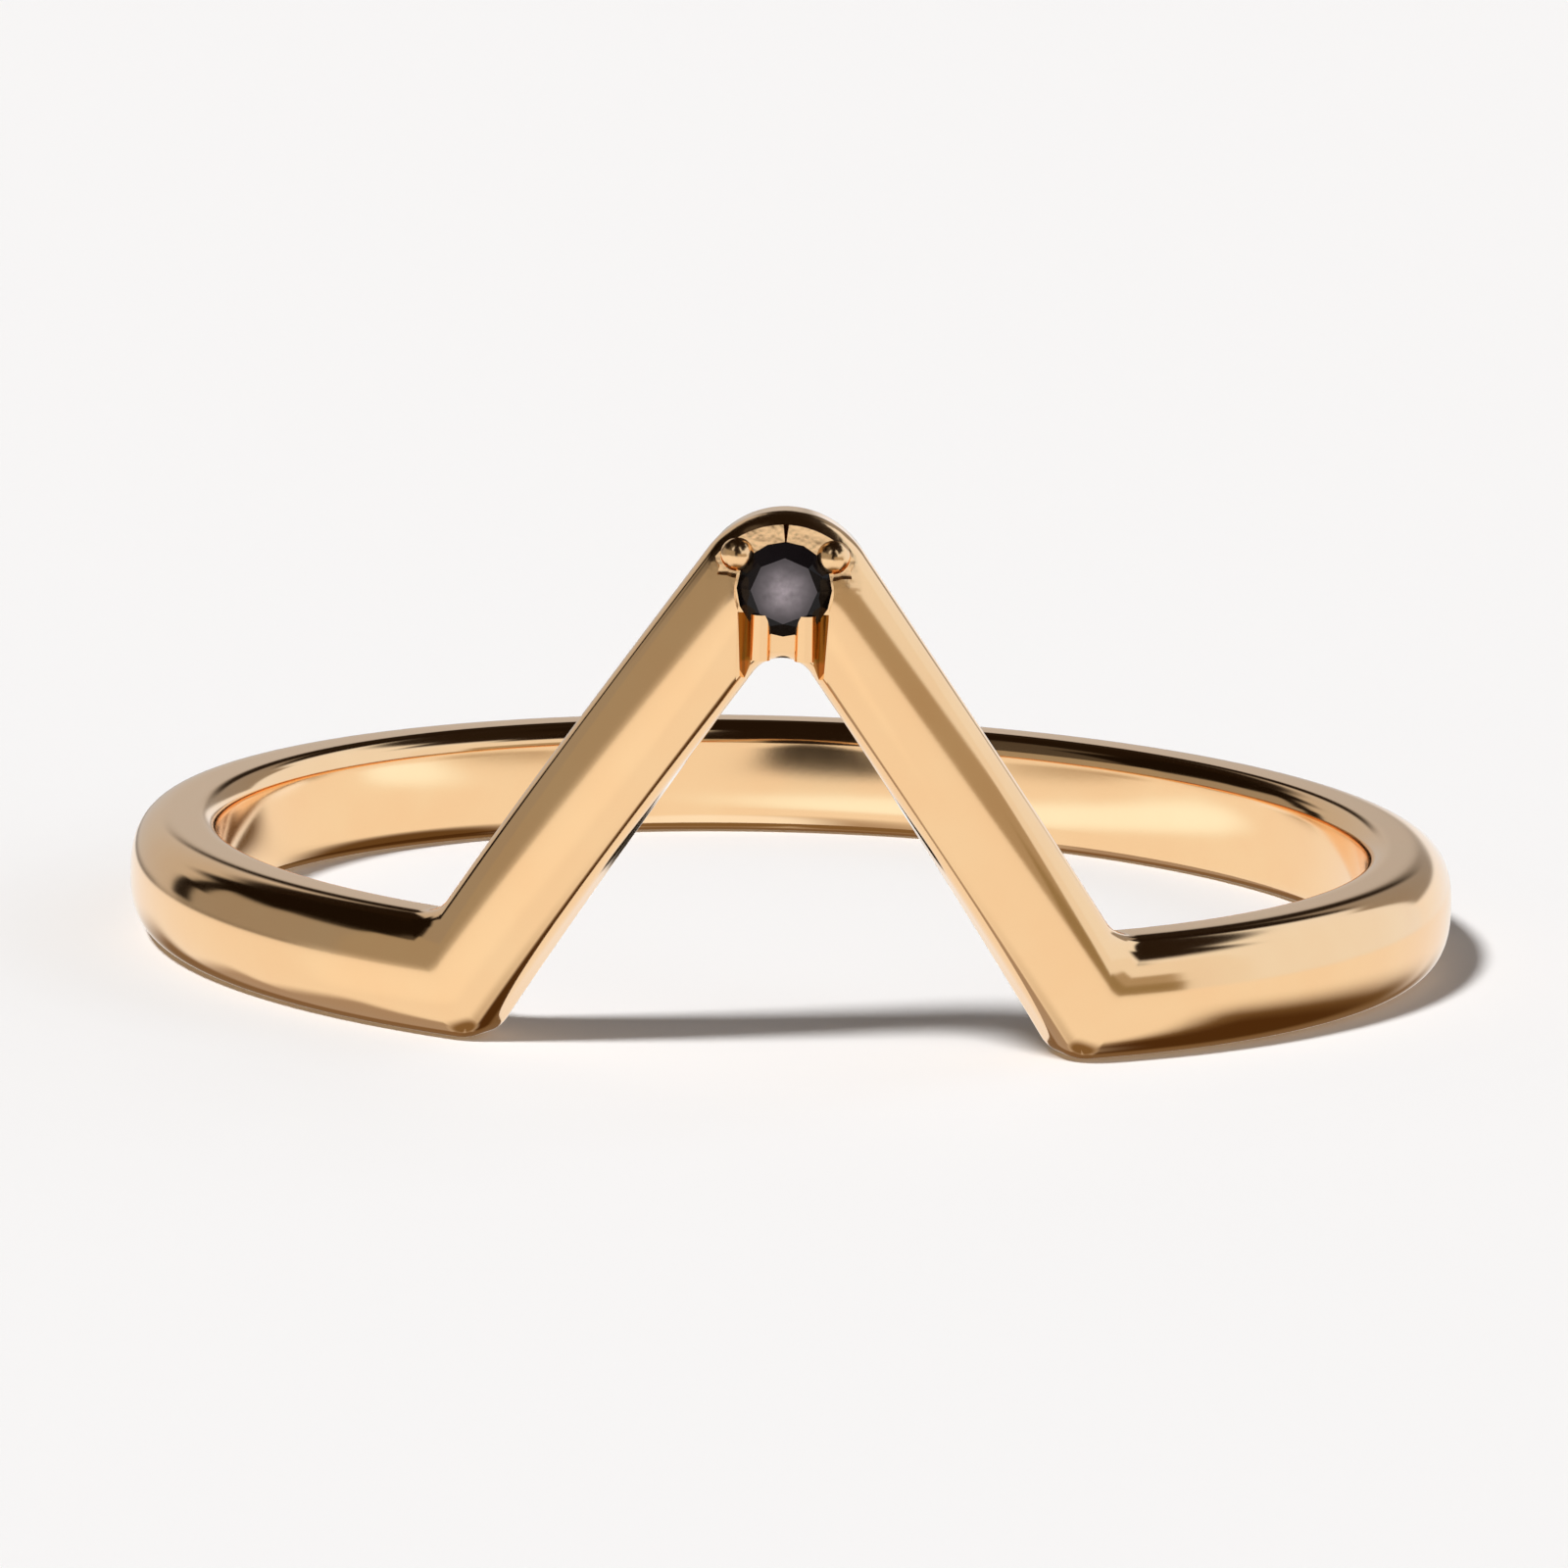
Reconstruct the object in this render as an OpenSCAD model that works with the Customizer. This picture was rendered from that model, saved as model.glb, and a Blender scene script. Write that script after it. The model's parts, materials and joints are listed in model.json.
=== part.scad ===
// A finger ring whose round band rises at the front into a triangular peak,
// with one small round black stone held by four claws in the tip of the peak.
// The ring lies on its side: the finger's axis is Z, through the origin at half the
// height of the band, and the peak stands up at the front, which is -Y. Millimetres.

/* [Finger] */
// Radius of the hole for the finger, a US size 7
finger_r = 8.65; // [7.5:0.05:10.5]

/* [Metal] */
// Thickness of the metal, from the finger outwards
metal_t = 1.3; // [1.1:0.02:1.5]
// Height of the band where it goes round the finger
band_h = 1.76; // [1.5:0.02:1.9]
// Width of each leg of the peak
leg_w = 1.58; // [1.4:0.02:1.8]
// Share of the thickness at which the section reaches its full width
belly = 0.5; // [0.3:0.05:0.7]
// Fullness of the domed outside, where 2 makes it an ellipse
fullness = 2.5; // [2:0.1:3]
// Rounding of the two edges at the finger
edge_r = 0.32; // [0.2:0.01:0.4]

/* [Peak] */
// Height at which the middle lines of the legs would cross, above the band's
peak_h = 6.8; // [5.5:0.05:8]
// Angle round the finger from the front to the foot of each leg
foot_deg = 29; // [26:0.2:32]
// Radius of the tip, outside
tip_outer_r = 1.36; // [1.1:0.02:1.5]
// Radius of the tip, inside
tip_inner_r = 0.5; // [0.3:0.02:0.7]
// Radius of the bend above each foot
foot_upper_r = 0.76; // [0.5:0.02:1]
// Radius of the bend below each foot
foot_lower_r = 0.58; // [0.4:0.02:0.8]

/* [Stone] */
// Diameter of the stone
stone_d = 1.36; // [1.2:0.02:1.5]
// Height of the stone's centre above the middle of the band
stone_z = 6.08; // [5.9:0.02:6.3]
// Width of the flat table as a share of the diameter
table_share = 0.7; // [0.55:0.01:0.75]
// Slope of the facets round the table
crown_deg = 36; // [30:1:42]
// Slope of the facets behind the girdle
pavilion_deg = 40; // [35:1:42]
// Thickness of the girdle
girdle_t = 0.05; // [0.02:0.01:0.1]

/* [Setting] */
// Depth of the girdle under the foremost line of the metal
girdle_sink = 0.24; // [0.2:0.01:0.28]
// Air between the stone and the metal
stone_gap = 0.03; // [0.02:0.005:0.05]
// Radius of the sunk field round the upper half of the stone
field_r = 0.98; // [0.95:0.01:1.04]
// Radius of the two upper claws, which are round beads
bead_r = 0.24; // [0.18:0.01:0.25]
// Angle of the beads above the level line through the stone
bead_deg = 35; // [32:1:42]
// Width of the air outside each bead
bead_air = 0.07; // [0.05:0.01:0.12]
// Radius of the two lower claws, which are pillars down to the inside of the tip
pillar_r = 0.15; // [0.12:0.01:0.17]
// Distance of the pillars from the middle of the peak
pillar_x = 0.32; // [0.3:0.01:0.36]
// Width of the V-shaped groove outside each pillar, at its upper end
groove_w = 0.24; // [0.16:0.01:0.26]
// Distance of the grooves' middle lines from the middle of the peak
groove_x = 0.53; // [0.5:0.01:0.58]
// Depth of the grooves behind the girdle, at their upper ends
groove_sink = 0.19; // [0.12:0.01:0.25]
// Angle by which the grooves grow shallower on their way down
groove_tilt = 5; // [0:1:8]
// Width of the small V-shaped notch above the stone, at its upper end
notch_w = 0.08; // [0.05:0.01:0.1]

/* [Hidden] */
$fn = 96;

// The legs run straight in the metal when the ring is rolled out flat, so all their
// places are [way round the finger at mid thickness, height] pairs until they are wrapped.
mid_r = finger_r + metal_t / 2;
mm_per_deg = mid_r * PI / 180;
foot_s = foot_deg * mm_per_deg;
leg_tilt = atan2(peak_h, foot_s);
start_deg = foot_deg + 8;
start_s = start_deg * mm_per_deg;

// Steps of the swept surface
edge_steps = 5;
dome_steps = 9;
bend_steps = 7;
tip_steps = 18;
leg_steps = 10;

// The peak is this much slimmer all round, so that its ends slide into the round band
inset = 0.01;
// Angle by which the ends reach in
reach_deg = 1.5;

stone_r = stone_d / 2;
table_r = stone_r * table_share;
crown_h = (stone_r - table_r) * tan(crown_deg);
pavilion_h = stone_r * tan(pavilion_deg);
front_y = finger_r + metal_t;
girdle_y = front_y - girdle_sink;
pocket_r = stone_r + stone_gap;

// Overlap of each bead with the stone's pocket
bead_bite = 0.11;
// Heights in the setting, from the stone's centre
field_foot = 0.2;
groove_top = -0.35;
pillar_top = -0.36;
pillar_foot = -1.02;
notch_top = 0.94;

// Distance of the pillars' axes in front of the plane of the stone's girdle
pillar_out = 0.04;

// The notch's length, depth at its upper end, and angle by which it grows shallower
notch_l = 0.3;
notch_sink = 0.16;
notch_tilt = 25;

// Points of the section as [share of the thickness, share of the half width]

// One point of the dome, from its widest place at 0 to the outermost line at 90
function dome_point(q) =
    [belly + (1 - belly) * pow(sin(q), 2 / fullness), pow(cos(q), 2 / fullness)];

// The upper half, from the finger's side to just short of the outermost line
function half_section(half_w) = concat(
    [for (k = [0:edge_steps]) let (q = 90 * k / edge_steps)
        [edge_r * (1 - cos(q)) / metal_t, 1 - edge_r * (1 - sin(q)) / half_w]],
    [for (k = [0:dome_steps - 1]) dome_point(90 * k / dome_steps)]);

function mirrored(points) = [for (k = [len(points) - 1:-1:0]) [points[k].x, -points[k].y]];

function section(half_w) =
    let (upper = half_section(half_w)) concat(upper, [[1, 0]], mirrored(upper));

// The same with points along the finger's side too, which follow its curve
function full_section(half_w) =
    concat(section(half_w), [for (k = [-2:2]) [0, k / 3 * (1 - edge_r / half_w)]]);

// Outlines of the peak, rolled out flat

function unit(v) = v / norm(v);

// Arc of radius r that rounds the corner at p between the lines to a and b
function bend(a, p, b, r, steps) =
    let (u = unit(a - p), v = unit(b - p), half = acos(u * v) / 2,
         centre = p + unit(u + v) * r / sin(half),
         from = p + u * r / tan(half) - centre,
         to = p + v * r / tan(half) - centre,
         a0 = atan2(from.y, from.x),
         turn = atan2(from.x * to.y - from.y * to.x, from * to))
    [for (k = [0:steps]) centre + r * [cos(a0 + turn * k / steps), sin(a0 + turn * k / steps)]];

// Where the upper (side 1) or lower (side -1) edge of a leg meets the band's and the middle
function leg_line(side) =
    [-foot_s, 0] + side * leg_w / 2 * [-sin(leg_tilt), cos(leg_tilt)];
function foot_corner(side) =
    let (m = leg_line(side), z = side * band_h / 2) [m.x + (z - m.y) / tan(leg_tilt), z];
function tip_corner(side) = let (m = leg_line(side)) [0, m.y - m.x * tan(leg_tilt)];

function across(p) = [-p.x, p.y];

function straight(a, b) = [for (k = [1:leg_steps - 1]) a + (b - a) * k / leg_steps];

// One edge of the peak, from the plain band on the left to the plain band on the right
function edge_line(side, foot_r, tip_r) =
    let (height = side * band_h / 2, start = [-start_s, height],
         foot = bend(start, foot_corner(side), tip_corner(side), foot_r, bend_steps),
         tip = bend(foot_corner(side), tip_corner(side), across(foot_corner(side)), tip_r, tip_steps),
         left = concat([[-start_s - reach_deg * mm_per_deg, height], (start + foot[0]) / 2],
                       foot, straight(foot[bend_steps], tip[0])))
    concat(left, tip, [for (k = [len(left) - 1:-1:0]) across(left[k])]);

// A point of the rolled out peak, share t of the thickness, wrapped round the finger
function wrapped(s, z, t) =
    let (r = finger_r + inset + t * (metal_t - 2 * inset), turn = s / mm_per_deg)
    [r * sin(turn), -r * cos(turn), z];

function station(up, low) =
    let (middle = (up + low) / 2, whole = (up - low) / 2, half = whole - inset * unit(whole))
    [for (q = full_section(norm(half)))
        wrapped(middle.x + q.y * half.x, middle.y + q.y * half.y, q.x)];

// Triangles of a tube of n rings with m points each, whose ends meet at two last points
function tube_faces(n, m) = concat(
    [for (i = [0:n - 2], j = [0:m - 1])
        [i * m + j, (i + 1) * m + (j + 1) % m, i * m + (j + 1) % m]],
    [for (i = [0:n - 2], j = [0:m - 1])
        [i * m + j, (i + 1) * m + j, (i + 1) * m + (j + 1) % m]],
    [for (j = [0:m - 1]) [j, (j + 1) % m, n * m]],
    [for (j = [0:m - 1]) [(n - 1) * m + (j + 1) % m, (n - 1) * m + j, n * m + 1]]);

module peak() {
    upper = edge_line(1, foot_upper_r, tip_outer_r);
    lower = edge_line(-1, foot_lower_r, tip_inner_r);
    rings = [for (k = [0:len(upper) - 1]) station(upper[k], lower[k])];
    ends = [for (side = [-1, 1]) wrapped(side * (start_s + reach_deg * mm_per_deg), 0, 0.5)];
    polyhedron([for (ring = concat(rings, [ends])) each ring],
        tube_faces(len(rings), len(rings[0])));
}

module round_band() {
    rotate_extrude(angle = 360 - 2 * start_deg, start = start_deg - 90)
        polygon([for (q = section(band_h / 2))
            [finger_r + q.x * metal_t, q.y * band_h / 2]]);
}

// Stands its children on the girdle's plane: X stays, Y goes up and Z faces the front
module at_girdle() {
    translate([0, -girdle_y, stone_z]) rotate([90, 0, 0]) children();
}

// The room of the stone with air all round it
module stone_room() {
    drop = stone_gap / cos(pavilion_deg);
    rise = stone_gap / cos(crown_deg);
    rotate_extrude() polygon([
        [0, -girdle_t / 2 - pavilion_h - drop],
        [pocket_r, -girdle_t / 2 - drop + stone_gap * tan(pavilion_deg)],
        [pocket_r, girdle_t / 2 + rise - stone_gap * tan(crown_deg)],
        [table_r, girdle_t / 2 + crown_h + rise],
        [0, girdle_t / 2 + crown_h + rise]]);
}

// Where the bead on one side stands
module at_bead(side) {
    way = pocket_r + bead_r - bead_bite;
    translate([side * way * cos(bead_deg), way * sin(bead_deg), 0]) children();
}

// A V-shaped trough that runs down from the given height and grows shallower on its way
module trough(x, top, long, width, sink, tilt, front) {
    translate([x, top, 0]) rotate([90 - tilt, 0, 0]) linear_extrude(long)
        polygon([[-width / 2, front], [-width / 2, 0], [0, -sink], [width / 2, 0], [width / 2, front]]);
}

// The room in front of the girdle: pocket, sunk field, grooves and notch
module setting_cuts() {
    front = 2 * girdle_sink;
    window_w = 2 * groove_x + groove_w;
    cylinder(r = pocket_r, h = front);
    intersection() {
        cylinder(r = field_r, h = front);
        translate([-field_r, field_foot, -front]) cube([2 * field_r, 2 * field_r, 3 * front]);
    }
    for (side = [-1, 1]) at_bead(side) cylinder(r = bead_r + bead_air, h = front);
    translate([-window_w / 2, -stone_z, 0]) cube([window_w, stone_z, front]);
    for (side = [-1, 1])
        trough(side * groove_x, groove_top, stone_z, groove_w, groove_sink, groove_tilt, front);
    trough(0, notch_top, notch_l, notch_w, notch_sink, notch_tilt, front);
}

// Two round beads above, and below two upright pillars that run up in front of the rim of the stone
module claws() {
    for (side = [-1, 1]) {
        at_bead(side) {
            sphere(r = bead_r);
            translate([0, 0, -bead_r]) cylinder(r = bead_r, h = bead_r);
        }
        translate([side * pillar_x, pillar_top, pillar_out])
            rotate([90, 0, 0]) cylinder(r = pillar_r, h = pillar_top - pillar_foot);
    }
}

module band() {
    color([0.93, 0.74, 0.48]) difference() {
        union() {
            difference() {
                union() {
                    round_band();
                    peak();
                }
                at_girdle() setting_cuts();
            }
            at_girdle() claws();
        }
        at_girdle() stone_room();
    }
}

// A round brilliant with 16 girdle points, facing +Z, its girdle at z = 0

function ring_of(n, r, z, phase) = [for (k = [0:n - 1])
    let (a = phase + 360 * k / n) [r * cos(a), r * sin(a), z]];

module stone() {
    // The star facets end part of the way down the crown, the long lower ones low behind it
    star_r = table_r + 0.45 * (stone_r - table_r);
    star_z = girdle_t / 2 + 0.6 * crown_h;
    low_r = stone_r * 0.28;
    low_z = -girdle_t / 2 - pavilion_h * 0.74;
    points = concat(
        ring_of(8, table_r, girdle_t / 2 + crown_h, 0),
        ring_of(8, star_r, star_z, 22.5),
        ring_of(16, stone_r, girdle_t / 2, 0),
        ring_of(16, stone_r, -girdle_t / 2, 0),
        ring_of(8, low_r, low_z, 22.5),
        [[0, 0, -girdle_t / 2 - pavilion_h]]);
    table = 0;
    star = 8;
    top = 16;
    under = 32;
    low = 48;
    culet = 56;
    faces = concat(
        [[for (k = [7:-1:0]) table + k]],
        [for (k = [0:7]) each [
            [table + k, table + (k + 1) % 8, star + k],
            [table + k, star + k, top + 2 * k],
            [table + k, top + 2 * k, star + (k + 7) % 8],
            [star + k, top + 2 * k + 1, top + 2 * k],
            [star + k, top + (2 * k + 2) % 16, top + 2 * k + 1],
            [low + k, under + 2 * k, under + 2 * k + 1],
            [low + k, under + 2 * k + 1, under + (2 * k + 2) % 16],
            [low + k, under + (2 * k + 2) % 16, low + (k + 1) % 8],
            [low + k, low + (k + 1) % 8, culet]]],
        [for (k = [0:15]) each [
            [top + k, top + (k + 1) % 16, under + (k + 1) % 16],
            [top + k, under + (k + 1) % 16, under + k]]]);
    color([0.08, 0.07, 0.08]) at_girdle() polyhedron(points, faces);
}

band();
stone();
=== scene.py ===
import json
import math

import bmesh
import bpy
import numpy as np
from mathutils import Matrix, Quaternion, Vector


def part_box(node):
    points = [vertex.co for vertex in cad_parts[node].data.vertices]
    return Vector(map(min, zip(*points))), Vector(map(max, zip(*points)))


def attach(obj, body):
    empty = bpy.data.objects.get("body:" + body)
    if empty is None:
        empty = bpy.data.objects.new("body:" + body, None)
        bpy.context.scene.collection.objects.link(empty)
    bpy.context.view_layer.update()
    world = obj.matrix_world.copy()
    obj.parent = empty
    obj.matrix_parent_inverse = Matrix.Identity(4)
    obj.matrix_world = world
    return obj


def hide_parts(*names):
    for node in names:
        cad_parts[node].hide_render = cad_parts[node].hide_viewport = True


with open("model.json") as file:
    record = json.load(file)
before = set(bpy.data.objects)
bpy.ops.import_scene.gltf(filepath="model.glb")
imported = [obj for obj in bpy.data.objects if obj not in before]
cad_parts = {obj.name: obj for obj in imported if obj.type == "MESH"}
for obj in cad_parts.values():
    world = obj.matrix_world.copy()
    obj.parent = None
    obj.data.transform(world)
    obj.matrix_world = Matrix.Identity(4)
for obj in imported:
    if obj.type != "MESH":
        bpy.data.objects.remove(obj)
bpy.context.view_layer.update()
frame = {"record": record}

MM = 0.001

# Sizes of the ring, from the frame where it states them
finger_r = frame["record"]["mounts"][0]["dims"]["r_mm"]
band_low, band_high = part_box("band")
band_h = -2 * band_low[2] / MM
metal_t = 1.3
leg_w = 1.58
belly = 0.5
fullness = 2.5
edge_r = 0.32
peak_h = 6.8
foot_deg = 29
tip_outer_r = 1.36
tip_inner_r = 0.5
foot_upper_r = 0.76
foot_lower_r = 0.58
# The mid-line of the metal turns almost sharply at each foot
foot_ridge_r = 0.12

# Sizes of the setting
stone_z = 6.08
girdle_sink = 0.24
table_r = 0.476
table_z = 0.17
pocket_r = 0.71
field_r = 0.98
field_foot = 0.2
bead_r = 0.24
bead_deg = 35
bead_way = 0.84
bead_air = 0.07
bead_x = bead_way * math.cos(math.radians(bead_deg))
bead_y = bead_way * math.sin(math.radians(bead_deg))
pillar_r = 0.15
pillar_x = 0.32
pillar_top = -0.36
pillar_out = 0.04
pillar_foot = -1.02
groove_w = 0.24
groove_x = 0.53
groove_sink = 0.19
groove_tilt = 5
groove_top = -0.35
notch_w = 0.08
notch_top = 0.94
notch_sink = 0.16
notch_tilt = 25
notch_l = 0.3
# The cutting shapes reach this far in front of the girdle's plane
FRONT = 0.7

# Steps of the band's mesh
EDGE_STEPS = 12
SIDE_STEPS = 5
DOME_STEPS = 34
LAND_STEPS = 12
BEND_STEPS = 26
LEG_STEPS = 60
TIP_STEPS = 96
BACK_STEPS = 180
# Edges that turn more than this stay crisp
SHARP_DEG = 28

mm_per_deg = (finger_r + metal_t / 2) * math.pi / 180
foot_s = foot_deg * mm_per_deg
leg_tilt = math.atan2(peak_h, foot_s)
start_s = (foot_deg + 8) * mm_per_deg


# Outlines of the ring, rolled out flat as [way round at mid thickness, height] pairs


def unit(v):
    return v / np.linalg.norm(v)


def bend(a, p, b, r, steps):
    """Arc of radius r that rounds the corner at p between the lines to a and b."""
    u, v = unit(a - p), unit(b - p)
    half = math.acos(u @ v) / 2
    centre = p + unit(u + v) * r / math.sin(half)
    start = p + u * r / math.tan(half) - centre
    end = p + v * r / math.tan(half) - centre
    a0 = math.atan2(start[1], start[0])
    turn = math.atan2(start[0] * end[1] - start[1] * end[0], start @ end)
    angles = a0 + turn * np.linspace(0, 1, steps + 1)
    return centre + r * np.column_stack([np.cos(angles), np.sin(angles)])


def edge_line(side, foot_r, tip_r):
    """The upper (1) or lower (-1) edge or mid-line (0), once round from the back of the left side."""
    height = side * band_h / 2
    tilt = np.array([-math.sin(leg_tilt), math.cos(leg_tilt)])
    line = np.array([-foot_s, 0.0]) + side * leg_w / 2 * tilt
    slope = math.tan(leg_tilt)
    foot_corner = np.array([line[0] + (height - line[1]) / slope, height])
    tip_corner = np.array([0.0, line[1] - line[0] * slope])
    start = np.array([-start_s, height])
    foot = bend(start, foot_corner, tip_corner, foot_r, BEND_STEPS)
    tip = bend(foot_corner, tip_corner, foot_corner * [-1, 1], tip_r, TIP_STEPS)
    leg = foot[-1] + (tip[0] - foot[-1]) * np.linspace(0, 1, LEG_STEPS + 1)[1:-1, None]
    lead = start + (foot[0] - start) * np.linspace(0, 1, 9)[:-1, None]
    left = np.vstack([lead, foot, leg])
    back_s = np.linspace(start_s, 360 * mm_per_deg - start_s, BACK_STEPS + 1)[1:-1]
    back = np.column_stack([back_s, np.full(len(back_s), height)])
    return np.vstack([left, tip, left[::-1] * [-1, 1], back])


# The section, as offsets from the finger's side and from the edge, and shares of the half width


def section(half):
    """Points round the section of the given half width, as [thickness, width] in millimetres."""
    turn = np.linspace(0, math.pi / 2, EDGE_STEPS + 1)
    edge = np.column_stack([edge_r * (1 - np.cos(turn)), half - edge_r * (1 - np.sin(turn))])
    side_t = np.linspace(edge_r, belly * metal_t, SIDE_STEPS + 1)[1:-1]
    side = np.column_stack([side_t, np.full(len(side_t), half)])
    q = np.linspace(0, math.pi / 2, DOME_STEPS + 1)[:-1]
    dome_t = metal_t * (belly + (1 - belly) * np.sin(q) ** (2 / fullness))
    dome = np.column_stack([dome_t, half * np.cos(q) ** (2 / fullness)])
    upper = np.vstack([edge, side, dome])
    ridge = np.array([[metal_t, 0.0]])
    lower = upper[::-1] * [1, -1]
    land_w = np.linspace(-1, 1, LAND_STEPS + 1)[1:-1] * (half - edge_r)
    land = np.column_stack([np.zeros(len(land_w)), land_w])
    return np.vstack([upper, ridge, lower, land])


def wrap(s, z, t):
    """Wraps rolled out places round the finger: way round s, height z, t outwards from the hole."""
    r, turn = finger_r + t, np.radians(s / mm_per_deg)
    return np.stack([r * np.sin(turn), -r * np.cos(turn), z], axis=-1)


def swept_band():
    upper = edge_line(1, foot_upper_r, tip_outer_r)
    lower = edge_line(-1, foot_lower_r, tip_inner_r)
    ridge = edge_line(0, foot_ridge_r, (tip_outer_r + tip_inner_r) / 2)
    rings = []
    for up, low, middle in zip(upper, lower, ridge):
        half = np.linalg.norm(up - low) / 2
        points = section(half)
        share = points[:, 1:] / half
        flat = middle + np.where(share > 0, share * (up - middle), -share * (low - middle))
        rings.append(wrap(flat[:, 0], flat[:, 1], points[:, 0]))
    n, m = len(rings), len(rings[0])
    i, j = np.meshgrid(np.arange(n), np.arange(m), indexing="ij")
    i2, j2 = (i + 1) % n, (j + 1) % m
    quads = np.stack([i * m + j, i * m + j2, i2 * m + j2, i2 * m + j], axis=-1)
    return np.concatenate(rings) * MM, quads.reshape(-1, 4)


def mesh_object(name, vertices, faces):
    mesh = bpy.data.meshes.new(name)
    mesh.from_pydata(vertices, [], faces)
    mesh.validate()
    mesh.shade_smooth()
    made = bpy.data.objects.new(name, mesh)
    bpy.context.scene.collection.objects.link(made)
    return made


# The setting, in a frame on the girdle's plane: X stays, Y goes up and Z faces the front


QUARTER_TURN = Matrix.Rotation(math.radians(90), 4, "X")


def at_girdle(x=0.0, y=0.0, z=0.0):
    front_y = finger_r + metal_t - girdle_sink
    place = Matrix.Translation((0, -front_y * MM, stone_z * MM))
    shift = Matrix.Translation((x * MM, y * MM, z * MM))
    return place @ QUARTER_TURN @ shift


def cylinder(place, length, r, steps):
    shape = bmesh.new()
    bmesh.ops.create_cone(shape, cap_ends=True, segments=steps, radius1=r * MM, radius2=r * MM,
                          depth=length * MM, matrix=place)
    return shape


def drum(x, y, low, high, r):
    """A cylinder that faces the front, from low to high."""
    return cylinder(at_girdle(x, y, (low + high) / 2), high - low, r, 96)


def upright(x, top, z, length, r):
    """A cylinder that hangs down from its top."""
    return cylinder(at_girdle(x, top - length / 2, z) @ QUARTER_TURN, length, r, 48)


def half_drum(foot, high, r, steps=64):
    """The part above Y = foot of a drum round the girdle's middle, from the girdle's plane to high."""
    start = math.asin(foot / r)
    angles = np.linspace(start, math.pi - start, steps)
    shape = bmesh.new()
    rims = [[shape.verts.new(at_girdle() @ Vector((r * math.cos(a) * MM, r * math.sin(a) * MM, z * MM)))
             for a in angles] for z in (0, high)]
    shape.faces.new(rims[0][::-1])
    shape.faces.new(rims[1])
    for i in range(steps):
        j = (i + 1) % steps
        shape.faces.new((rims[0][i], rims[0][j], rims[1][j], rims[1][i]))
    return shape


def block(x0, x1, y0, y1, z0, z1):
    shape = bmesh.new()
    size = Matrix.Diagonal(((x1 - x0) * MM, (y1 - y0) * MM, (z1 - z0) * MM, 1))
    place = at_girdle((x0 + x1) / 2, (y0 + y1) / 2, (z0 + z1) / 2) @ size
    bmesh.ops.create_cube(shape, size=1, matrix=place)
    return shape


def groove(x, top, length, width, sink, tilt, front):
    """A V-shaped trough that runs down from the given height and grows shallower on its way."""
    half = width / 2
    corners = [(-half, 0), (0, -sink), (half, 0), (half, front), (-half, front)]
    lean = Matrix.Rotation(math.radians(-tilt), 4, "X")
    shape = bmesh.new()
    ends = [[shape.verts.new(at_girdle(x, top) @ lean @ Vector((a * MM, -way * MM, b * MM)))
             for a, b in corners] for way in (length, 0)]
    shape.faces.new(ends[0])
    shape.faces.new(ends[1][::-1])
    for i in range(len(corners)):
        j = (i + 1) % len(corners)
        shape.faces.new((ends[0][j], ends[0][i], ends[1][i], ends[1][j]))
    return shape


def ball(x, y, z, r):
    shape = bmesh.new()
    bmesh.ops.create_uvsphere(shape, u_segments=48, v_segments=32, radius=r * MM,
                              matrix=at_girdle(x, y, z))
    return shape


def combine(target, shape, operation):
    """Cuts the shape out of the target, keeps only what both share, or adds it."""
    tool_mesh = bpy.data.meshes.new("tool")
    shape.to_mesh(tool_mesh)
    shape.free()
    tool_mesh.shade_smooth()
    tool = bpy.data.objects.new("tool", tool_mesh)
    bpy.context.scene.collection.objects.link(tool)
    change = target.modifiers.new("combine", "BOOLEAN")
    change.operation, change.object, change.solver = operation, tool, "MANIFOLD"
    graph = bpy.context.evaluated_depsgraph_get()
    made = bpy.data.meshes.new_from_object(target.evaluated_get(graph))
    target.modifiers.clear()
    old, target.data = target.data, made
    bpy.data.meshes.remove(old)
    bpy.data.objects.remove(tool)
    bpy.data.meshes.remove(tool_mesh)


def cut_setting(band):
    window = groove_x + groove_w / 2
    combine(band, drum(0, 0, 0, FRONT, pocket_r), "DIFFERENCE")
    combine(band, half_drum(field_foot, FRONT, field_r), "DIFFERENCE")
    for side in (-1, 1):
        combine(band, drum(side * bead_x, bead_y, 0, FRONT, bead_r + bead_air), "DIFFERENCE")
    combine(band, block(-window, window, -stone_z, 0, 0, FRONT), "DIFFERENCE")
    for side in (-1, 1):
        trough = groove(side * groove_x, groove_top, stone_z, groove_w, groove_sink, groove_tilt, FRONT)
        combine(band, trough, "DIFFERENCE")
    notch = groove(0, notch_top, notch_l, notch_w, notch_sink, notch_tilt, FRONT)
    combine(band, notch, "DIFFERENCE")


def add_claws(band):
    pillar_l = pillar_top - pillar_foot
    for side in (-1, 1):
        combine(band, ball(side * bead_x, bead_y, 0, bead_r), "UNION")
        pillar = upright(side * pillar_x, pillar_top, pillar_out, pillar_l, pillar_r)
        combine(band, pillar, "UNION")


vertices, faces = swept_band()
band = mesh_object("band_smooth", vertices.tolist(), faces.tolist())
cut_setting(band)
add_claws(band)
band.data.set_sharp_from_angle(angle=math.radians(SHARP_DEG))
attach(band, "root")
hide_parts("band")

# Camera, at the photograph's angle

CAMERA_AZIMUTH = 1.32
CAMERA_ELEVATION = 10.78
CAMERA_ROLL = 1.76
CAMERA_DISTANCE = 188.4
PIXELS_PER_MM = 67.66
PICTURE_PX = 1600
ORIGIN_PX = (807.2, 899.8)


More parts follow.
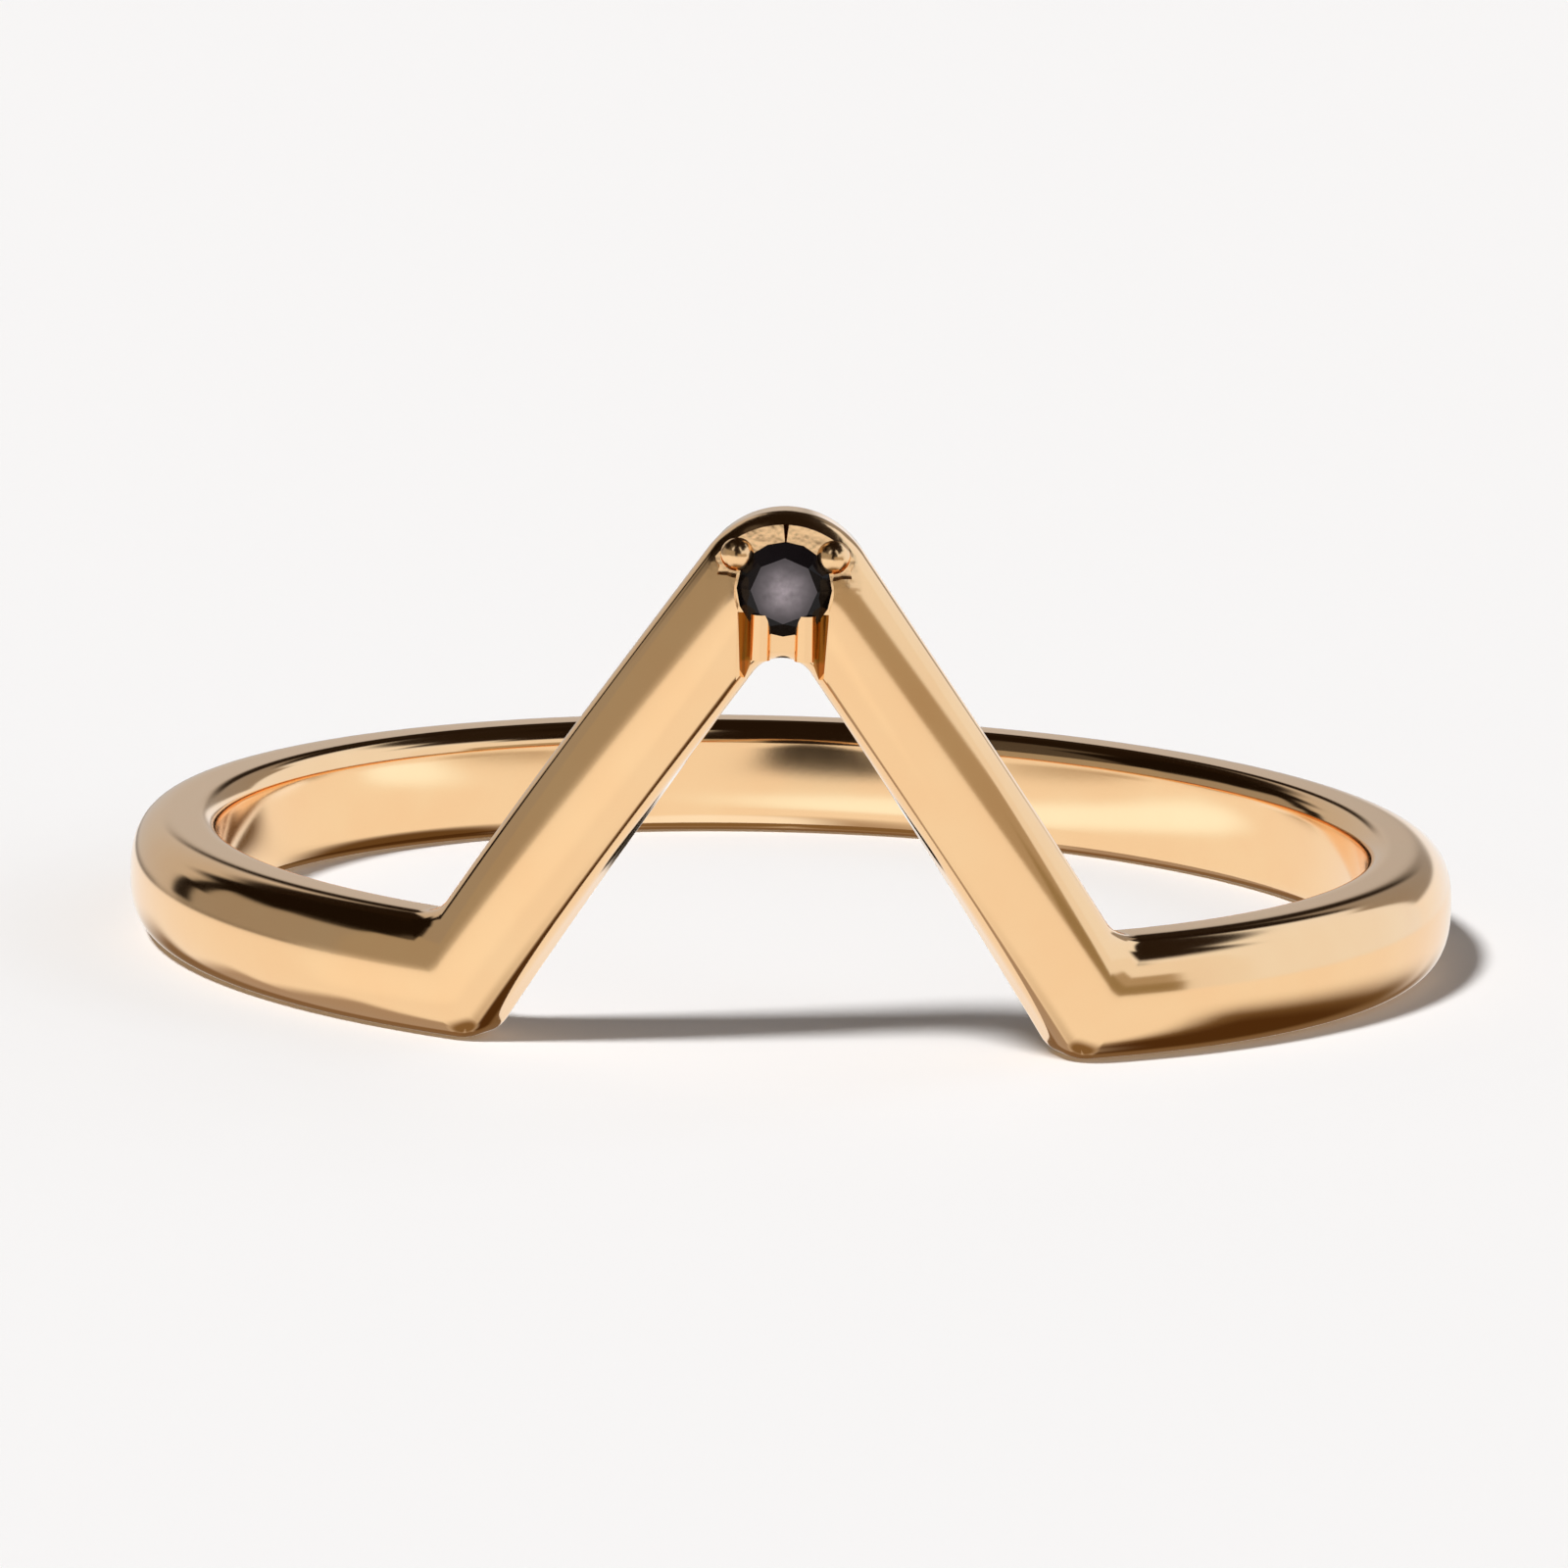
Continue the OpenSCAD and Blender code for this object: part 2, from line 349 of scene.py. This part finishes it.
def make_camera():
    """A long lens, turned so that the ring's origin falls on its own pixel of the picture."""
    a, e = math.radians(CAMERA_AZIMUTH), math.radians(CAMERA_ELEVATION)
    back = Vector((math.sin(a) * math.cos(e), -math.cos(a) * math.cos(e), math.sin(e)))
    focal_px = PIXELS_PER_MM * CAMERA_DISTANCE
    data = bpy.data.cameras.new("camera")
    data.sensor_width = 36
    data.lens = focal_px / PICTURE_PX * data.sensor_width
    data.clip_start, data.clip_end = 0.01, 5
    camera = bpy.data.objects.new("camera", data)
    bpy.context.scene.collection.objects.link(camera)
    right = Vector((math.cos(a), math.sin(a), 0))
    level = Matrix((right, back.cross(right), back)).transposed().to_quaternion()
    roll = Quaternion((0, 0, 1), math.radians(CAMERA_ROLL))
    to_origin = Vector((ORIGIN_PX[0] - PICTURE_PX / 2, PICTURE_PX / 2 - ORIGIN_PX[1], -focal_px))
    aim = to_origin.rotation_difference(Vector((0, 0, -1)))
    camera.location = back * CAMERA_DISTANCE * MM
    camera.rotation_mode = "QUATERNION"
    camera.rotation_quaternion = level @ roll @ aim
    bpy.context.scene.camera = camera


make_camera()

# Steps of the materials' node trees


def math_node(tree, operation, *values):
    node = tree.nodes.new("ShaderNodeMath")
    node.operation = operation
    for socket, value in zip(node.inputs, values):
        if isinstance(value, (int, float)):
            socket.default_value = value
        else:
            tree.links.new(value, socket)
    return node.outputs[0]


def step(tree, value, half, edge):
    """1 where the value is under half, with a soft edge."""
    node = tree.nodes.new("ShaderNodeMapRange")
    node.interpolation_type = "SMOOTHSTEP"
    tree.links.new(value, node.inputs["Value"])
    node.inputs["From Min"].default_value = half + edge / 2
    node.inputs["From Max"].default_value = half - edge / 2
    return node.outputs["Result"]


def layer(tree, below, mask, light):
    """The colour so far, as a link or plain numbers, with another laid over it through a mask."""
    mix = tree.nodes.new("ShaderNodeMix")
    mix.data_type = "RGBA"
    tree.links.new(mask, mix.inputs["Factor"])
    if isinstance(below, tuple):
        mix.inputs["A"].default_value = (*below, 1)
    else:
        tree.links.new(below, mix.inputs["A"])
    mix.inputs["B"].default_value = (*light, 1)
    return mix.outputs["Result"]


def noise(tree, place, scale, detail):
    node = tree.nodes.new("ShaderNodeTexNoise")
    node.inputs["Scale"].default_value = scale
    node.inputs["Detail"].default_value = detail
    tree.links.new(place.outputs["Object"], node.inputs["Vector"])
    return node.outputs["Fac"]


def split(tree, vector):
    """The X, Y and Z of a vector."""
    node = tree.nodes.new("ShaderNodeSeparateXYZ")
    tree.links.new(vector, node.inputs[0])
    return node.outputs


def distance(tree, place, x, y, z):
    """The distance from a point that is given in the setting's own frame."""
    node = tree.nodes.new("ShaderNodeVectorMath")
    node.operation = "DISTANCE"
    node.inputs[1].default_value = at_girdle(x, y, z).translation
    tree.links.new(place.outputs["Object"], node.inputs[0])
    return node.outputs["Value"]


# Materials

# How far the hand finish reaches round the stone
FIELD_REACH = 1.12
# Half the height of the painted shade in the grooves, and how deep the grooves' middle lies behind the
# girdle's plane
GROOVE_REACH = 0.34
GROOVE_DEPTH = 0.14


def groove_shade_mask(tree, where):
    """1 inside the two V grooves beside the pillars, where the shade is painted."""
    side = math_node(tree, "SUBTRACT", math_node(tree, "ABSOLUTE", where["X"]), groove_x * MM)
    beside = step(tree, math_node(tree, "ABSOLUTE", side), (groove_w / 2 + 0.04) * MM, 0.04 * MM)
    drop = math_node(tree, "SUBTRACT", where["Z"], (stone_z + groove_top - GROOVE_REACH) * MM)
    along = step(tree, math_node(tree, "ABSOLUTE", drop), (GROOVE_REACH + 0.03) * MM, 0.06 * MM)
    depth = math_node(tree, "ADD", where["Y"], (finger_r + metal_t - girdle_sink - GROOVE_DEPTH) * MM)
    behind = step(tree, math_node(tree, "ABSOLUTE", depth), 0.125 * MM, 0.02 * MM)
    return math_node(tree, "MULTIPLY", math_node(tree, "MULTIPLY", beside, along), behind)


def field_mask(tree, place, where):
    """1 on the upper half of the setting, round the stone."""
    near = step(tree, distance(tree, place, 0, 0, 0), FIELD_REACH * MM, 0.1 * MM)
    above = math_node(tree, "SUBTRACT", 1, step(tree, where["Z"], stone_z * MM, 0.3 * MM))
    return math_node(tree, "MULTIPLY", near, above)


def bump(tree, height, size):
    node = tree.nodes.new("ShaderNodeBump")
    node.inputs["Distance"].default_value = size
    tree.links.new(height, node.inputs["Height"])
    return node


def gold_material():
    """Polished yellow gold, with a faint cloudiness, the finest of polishing marks and painted shade in
    the grooves.
    """
    material = bpy.data.materials.new("polished_gold")
    material.use_nodes = True
    tree = material.node_tree
    shader = tree.nodes["Principled BSDF"]
    shader.inputs["Metallic"].default_value = 1
    shader.inputs["Base Color"].default_value = (1.0, 0.66, 0.36, 1)
    shader.inputs["Roughness"].default_value = 0.1
    place = tree.nodes.new("ShaderNodeTexCoord")
    where = split(tree, place.outputs["Object"])
    cloud = noise(tree, place, 900, 3)
    tone = tree.nodes.new("ShaderNodeValToRGB")
    tone.color_ramp.elements[0].position = 0.3
    tone.color_ramp.elements[0].color = (0.99, 0.645, 0.348, 1)
    tone.color_ramp.elements[1].position = 0.7
    tone.color_ramp.elements[1].color = (1.0, 0.675, 0.372, 1)
    tree.links.new(cloud, tone.inputs["Fac"])
    # Painted shade: the grooves beside the pillars get a darker colour than the polished outside,
    # standing in for the shade that falls in them
    colour = layer(tree, tone.outputs["Color"], groove_shade_mask(tree, where), (0.84, 0.6, 0.29))
    tree.links.new(colour, shader.inputs["Base Color"])
    polish = tree.nodes.new("ShaderNodeMapRange")
    polish.inputs["To Min"].default_value = 0.07
    polish.inputs["To Max"].default_value = 0.13
    tree.links.new(cloud, polish.inputs["Value"])
    # The field round the stone is hand finished, so it's duller and uneven
    field = field_mask(tree, place, where)
    finish = tree.nodes.new("ShaderNodeMix")
    tree.links.new(field, finish.inputs["Factor"])
    tree.links.new(polish.outputs["Result"], finish.inputs["A"])
    finish.inputs["B"].default_value = 0.2
    tree.links.new(finish.outputs["Result"], shader.inputs["Roughness"])
    marks = bump(tree, noise(tree, place, 12000, 2), 0.002 * MM)
    marks.inputs["Strength"].default_value = 0.05
    uneven = bump(tree, noise(tree, place, 4200, 2), 0.011 * MM)
    tree.links.new(field, uneven.inputs["Strength"])
    tree.links.new(marks.outputs["Normal"], uneven.inputs["Normal"])
    tree.links.new(uneven.outputs["Normal"], shader.inputs["Normal"])
    return material


def stone_material():
    """Polished black stone, with a painted pale purple highlight on its table, mottled by noise, and
    near-black facets.
    """
    material = bpy.data.materials.new("black_stone")
    material.use_nodes = True
    tree = material.node_tree
    shader = tree.nodes["Principled BSDF"]
    shader.inputs["Roughness"].default_value = 0.05
    shader.inputs["IOR"].default_value = 1.3
    shader.inputs["Base Color"].default_value = (0.02, 0.015, 0.018, 1)
    place = tree.nodes.new("ShaderNodeTexCoord")
    # Painted highlight: brightest at the middle of the table and gone at its rim
    painted_light = tree.nodes.new("ShaderNodeMapRange")
    painted_light.interpolation_type = "SMOOTHSTEP"
    painted_light.inputs["From Min"].default_value = table_r * MM
    painted_light.inputs["From Max"].default_value = 0
    tree.links.new(distance(tree, place, 0, 0, table_z), painted_light.inputs["Value"])
    # The painted highlight lies only where the surface faces the front
    facing = tree.nodes.new("ShaderNodeMapRange")
    facing.inputs["From Min"].default_value = -0.97
    facing.inputs["From Max"].default_value = -0.99
    tree.links.new(split(tree, place.outputs["Normal"])["Y"], facing.inputs["Value"])
    cloud = noise(tree, place, 5200, 3)
    share = math_node(tree, "MULTIPLY_ADD", painted_light.outputs["Result"], cloud, 0.12)
    table_highlight = math_node(tree, "MULTIPLY", share, facing.outputs["Result"])
    colour = layer(tree, (0.006, 0.0045, 0.005), table_highlight, (0.5, 0.43, 0.46))
    tree.links.new(colour, shader.inputs["Base Color"])
    return material


gold = gold_material()
band.data.materials.clear()
band.data.materials.append(gold)
for name, made in (("band", gold), ("stone", stone_material())):
    node = bpy.data.objects[name]
    for slot in node.material_slots:
        slot.material = made

# Studio: pale floor, soft light, and what the gold mirrors all round

FLOOR_COLOUR = (0.930, 0.913, 0.896, 1)
FLOOR_ALBEDO = (0.874, 0.859, 0.849, 1)
FLOOR_R = 3.0
# The mirrored floor lies this far above the seen one
CARD_RISE = 0.001 * MM


def disc(name, radius, height, steps=128):
    turns = [2 * math.pi * k / steps for k in range(steps)]
    rim = [(radius * math.cos(a), radius * math.sin(a), height) for a in turns]
    made = mesh_object(name, rim, [list(range(steps))])
    return made


def make_floor():
    """A pale floor, which the gold doesn't mirror."""
    material = bpy.data.materials.new("pale_floor")
    material.use_nodes = True
    shader = material.node_tree.nodes["Principled BSDF"]
    shader.inputs["Base Color"].default_value = FLOOR_ALBEDO
    shader.inputs["Roughness"].default_value = 1
    shader.inputs["Specular IOR Level"].default_value = 0
    floor = disc("floor", FLOOR_R, band_low[2])
    floor.visible_glossy = False
    floor.data.materials.append(material)


# Painted shadows and painted highlights on the floor inside the finger hole, as the inner wall mirrors
# it, in millimetres:
# middle x and y, half length and half width, turn in degrees, soft edge as a share, and colour
SHADOW_AND_HIGHLIGHT_PATCHES = (
    (0.5, 10.2, 6.0, 2.0, 0, 0.5, (0.42, 0.35, 0.29)),
    (-1.6, 8.5, 1.9, 0.6, 5, 0.7, (1.0, 1.08, 1.2)),
    (-7.2, 6.7, 5.5, 1.75, 43, 0.4, (0.13, 0.075, 0.03)),
    (-2.9, 3.4, 1.5, 1.2, 0, 0.8, (0.5, 0.45, 0.38)),
    (2.9, 3.6, 1.5, 1.2, 0, 0.8, (0.5, 0.45, 0.38)),
    (0.9, 5.9, 1.4, 0.8, 0, 0.8, (1.05, 1.25, 1.4)),
    (-0.3, -0.5, 0.68, 4.0, 0, 0.3, (0.012, 0.008, 0.002)),
)


def make_mirrored_floor():
    """A glowing card for the floor inside the finger hole as the gold mirrors it, with painted soft
    brown shadows of the ring and painted highlights.
    """
    material = bpy.data.materials.new("mirrored_floor")
    material.use_nodes = True
    tree = material.node_tree
    tree.nodes.clear()
    place = tree.nodes.new("ShaderNodeTexCoord")
    parts = split(tree, place.outputs["Object"])
    x = math_node(tree, "DIVIDE", parts["X"], MM)
    y = math_node(tree, "DIVIDE", parts["Y"], MM)
    colour = FLOOR_COLOUR[:3]
    for mid_x, mid_y, half_l, half_w, turn, edge, light in SHADOW_AND_HIGHLIGHT_PATCHES:
        c, n = math.cos(math.radians(turn)), math.sin(math.radians(turn))
        dx, dy = math_node(tree, "SUBTRACT", x, mid_x), math_node(tree, "SUBTRACT", y, mid_y)
        part = math_node(tree, "MULTIPLY", dx, c / half_l)
        along = math_node(tree, "MULTIPLY_ADD", dy, n / half_l, part)
        part = math_node(tree, "MULTIPLY", dx, -n / half_w)
        across = math_node(tree, "MULTIPLY_ADD", dy, c / half_w, part)
        square = math_node(tree, "MULTIPLY", across, across)
        way = math_node(tree, "SQRT", math_node(tree, "MULTIPLY_ADD", along, along, square))
        colour = layer(tree, colour, step(tree, way, 1, edge), light)
    painted_light = tree.nodes.new("ShaderNodeEmission")
    tree.links.new(colour, painted_light.inputs["Color"])
    output = tree.nodes.new("ShaderNodeOutputMaterial")
    tree.links.new(painted_light.outputs[0], output.inputs["Surface"])
    card = disc("mirrored_floor", finger_r * MM, band_low[2] + CARD_RISE)
    card.visible_camera = card.visible_diffuse = card.visible_shadow = False
    card.data.materials.append(material)


# Soft shapes in the studio, and below the horizon the floor with a painted pool of light and painted
# shadows of the ring: azimuth from the camera to the right and elevation in degrees,
# half width, half height and edge in degrees, and the light's colour
SHAPES = (
    (112, 18.5, 42, 28.5, 8, (0.88, 0.95, 1.06)),
    (59, 10, 29, 19, 6, (0.86, 0.89, 0.94)),
    (160, 0, 18, 9, 4, (0.92, 0.95, 0.99)),
    (162, 19, 19, 11, 4, (0.31, 0.29, 0.27)),
    (120, 54, 45, 9, 6, (0.02, 0.013, 0.008)),
    (84, 47, 20, 11, 8, (0.02, 0.013, 0.008)),
    (40, 1, 32, 10, 4, (0.42, 0.36, 0.27)),
    (65, -4, 8, 5, 4, (0.3, 0.24, 0.14)),
    (-75, 49, 32, 21, 8, (0.08, 0.07, 0.06)),
    (-110, 8.5, 32, 15.5, 6, (0.34, 0.32, 0.29)),
    (-157, 13, 26, 19, 6, (0.55, 0.53, 0.51)),
    (-180, 30, 11, 15, 6, (0.02, 0.013, 0.008)),
    (-122, 38, 18, 16, 8, (0.01, 0.006, 0.003)),
    (-98, 42, 22, 14, 5, (0.01, 0.006, 0.003)),
    (-125, 18, 4, 10, 3, (0.01, 0.006, 0.003)),
    (-129, 4, 4, 8, 3, (0.01, 0.006, 0.003)),
    (-48, 9.5, 34, 17.5, 4, (0.37, 0.34, 0.285)),
    (-33, 45, 7, 15, 5, (0.9, 0.93, 0.98)),
    (33, 45, 7, 15, 5, (0.9, 0.93, 0.98)),
    (0, -50, 181, 43, 1.5, (0.930, 0.913, 0.896)),
    # Below the horizon: a painted pool of light on the floor at the left front, then painted shadows of
    # the ring on the floor, as the gold mirrors them
    (-45, -17, 45, 9, 12, (0.98, 0.97, 0.95)),
    (0, -84, 181, 21, 24, (0.22, 0.145, 0.07)),
    (-143, -44, 20, 16, 8, (0.42, 0.35, 0.3)),
    (-118, -50, 26, 13, 10, (0.4, 0.34, 0.3)),
    (-174, -42, 28, 25, 10, (0.22, 0.14, 0.075)),
    (162, -42, 24, 20, 12, (0.2, 0.13, 0.07)),
    (118, -40, 36, 20, 16, (0.16, 0.1, 0.045)),
    (120, -46, 28, 17, 14, (0.075, 0.035, 0.01)),
)
BASE_LIGHT = (0.015, 0.009, 0.005)


def make_world():
    world = bpy.data.worlds.new("studio")
    world.use_nodes = True
    tree = world.node_tree
    tree.nodes.clear()
    place = tree.nodes.new("ShaderNodeTexCoord")
    x, y, z = split(tree, place.outputs["Generated"])
    back = math_node(tree, "MULTIPLY", y, -1)
    azimuth = math_node(tree, "DEGREES", math_node(tree, "ARCTAN2", x, back))
    elevation = math_node(tree, "DEGREES", math_node(tree, "ARCSINE", z))
    colour = BASE_LIGHT
    for az, el, half_az, half_el, edge, light in SHAPES:
        turn = math_node(tree, "WRAP", math_node(tree, "SUBTRACT", azimuth, az), 180, -180)
        off = step(tree, math_node(tree, "ABSOLUTE", turn), half_az, edge)
        rise = math_node(tree, "SUBTRACT", elevation, el)
        level = step(tree, math_node(tree, "ABSOLUTE", rise), half_el, edge)
        mask = math_node(tree, "MULTIPLY", off, level)
        colour = layer(tree, colour, mask, light)
    seen = tree.nodes.new("ShaderNodeBackground")
    seen.inputs["Color"].default_value = FLOOR_COLOUR
    mirrored = tree.nodes.new("ShaderNodeBackground")
    tree.links.new(colour, mirrored.inputs["Color"])
    path = tree.nodes.new("ShaderNodeLightPath")
    choice = tree.nodes.new("ShaderNodeMixShader")
    tree.links.new(path.outputs["Is Camera Ray"], choice.inputs[0])
    tree.links.new(mirrored.outputs[0], choice.inputs[1])
    tree.links.new(seen.outputs[0], choice.inputs[2])
    output = tree.nodes.new("ShaderNodeOutputWorld")
    tree.links.new(choice.outputs[0], output.inputs["Surface"])
    bpy.context.scene.world = world


def make_sun(name, azimuth, elevation, strength, angle):
    """A far soft lamp that lights but isn't mirrored, from the given azimuth and elevation."""
    data = bpy.data.lights.new(name, "SUN")
    data.energy, data.angle = strength, math.radians(angle)
    lamp = bpy.data.objects.new(name, data)
    bpy.context.scene.collection.objects.link(lamp)
    a, e = math.radians(azimuth), math.radians(elevation)
    towards = Vector((math.sin(a) * math.cos(e), -math.cos(a) * math.cos(e), math.sin(e)))
    lamp.rotation_mode = "QUATERNION"
    lamp.rotation_quaternion = towards.to_track_quat("Z", "Y")
    lamp.visible_glossy = False


make_floor()
make_mirrored_floor()
make_world()
make_sun("key", azimuth=-41, elevation=55, strength=3.35, angle=10)
bpy.context.scene.view_settings.view_transform = "Standard"
